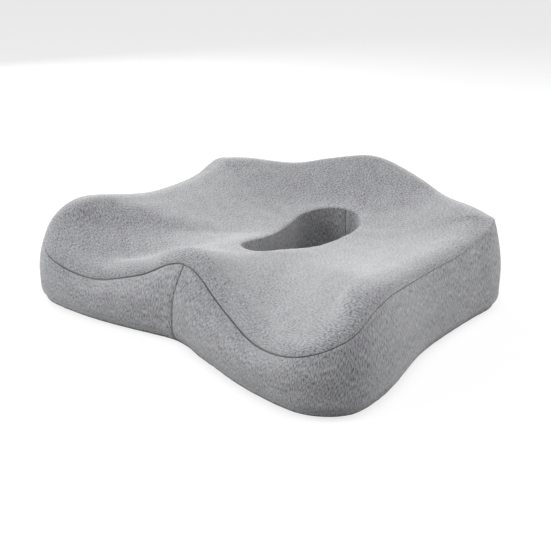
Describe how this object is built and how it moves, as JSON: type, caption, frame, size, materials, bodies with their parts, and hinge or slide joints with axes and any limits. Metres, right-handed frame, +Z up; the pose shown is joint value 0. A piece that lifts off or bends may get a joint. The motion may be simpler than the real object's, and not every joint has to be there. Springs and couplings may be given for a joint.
{
  "type": "contoured seat cushion",
  "caption": "Contoured foam seat cushion with thigh channels, a raised back edge, a central relief slot and a removable zipped knit cover.",
  "frame": {"origin": "middle of the cushion's footprint, on the plane that its grip dots stand on", "axes": "+X to the sitter's right, +Y to the back of the seat, +Z up"},
  "size_m": [0.449, 0.4128, 0.124],
  "materials": {
    "foam": "matte",
    "liner": "matte",
    "knit_top": "matte",
    "knit_band": "matte",
    "knit_sleeve": "matte",
    "base_fabric": "matte",
    "grip": "matte",
    "zip_tape": "matte",
    "zip_teeth": "satin",
    "zip_metal": "satin",
    "thread": "matte"
  },
  "bodies": {
    "pad": {"foam_core": "foam", "liner_top": "liner", "liner_wall": "liner", "liner_sleeve": "liner", "liner_bottom": "liner", "top_panel": "knit_top", "band_right": "knit_band", "band_left": "knit_band", "rear_band_upper": "knit_band", "rear_band_lower": "knit_band", "slot_sleeve": "knit_sleeve", "bottom_panel": "base_fabric", "grip_dots": "grip", "zip_tape_upper": "zip_tape", "zip_tape_lower": "zip_tape", "zip_teeth_upper": "zip_teeth", "zip_teeth_lower": "zip_teeth", "zip_end_stops": "zip_metal", "top_seam_thread": "thread", "bottom_seam_thread": "thread", "slot_top_thread": "thread", "slot_bottom_thread": "thread", "front_joint_thread": "thread", "rear_joint_threads": "thread", "sleeve_joint_thread": "thread"},
    "slider": {"zip_slider": "zip_metal"},
    "pull": {"zip_pull": "zip_metal"}
  },
  "joints": [
    {"name": "zip_travel", "type": "hinge", "parent": "pad", "child": "slider", "pos_m": [0, -0.0945, 0.02], "axis": [0, 0, 1], "range_deg": [0, 66]},
    {"name": "pull_flip", "type": "hinge", "parent": "slider", "child": "pull", "pos_m": [0.16377, 0.15769, 0.02], "axis": [0, 0, 1], "range_deg": [0, 180]}
  ]
}
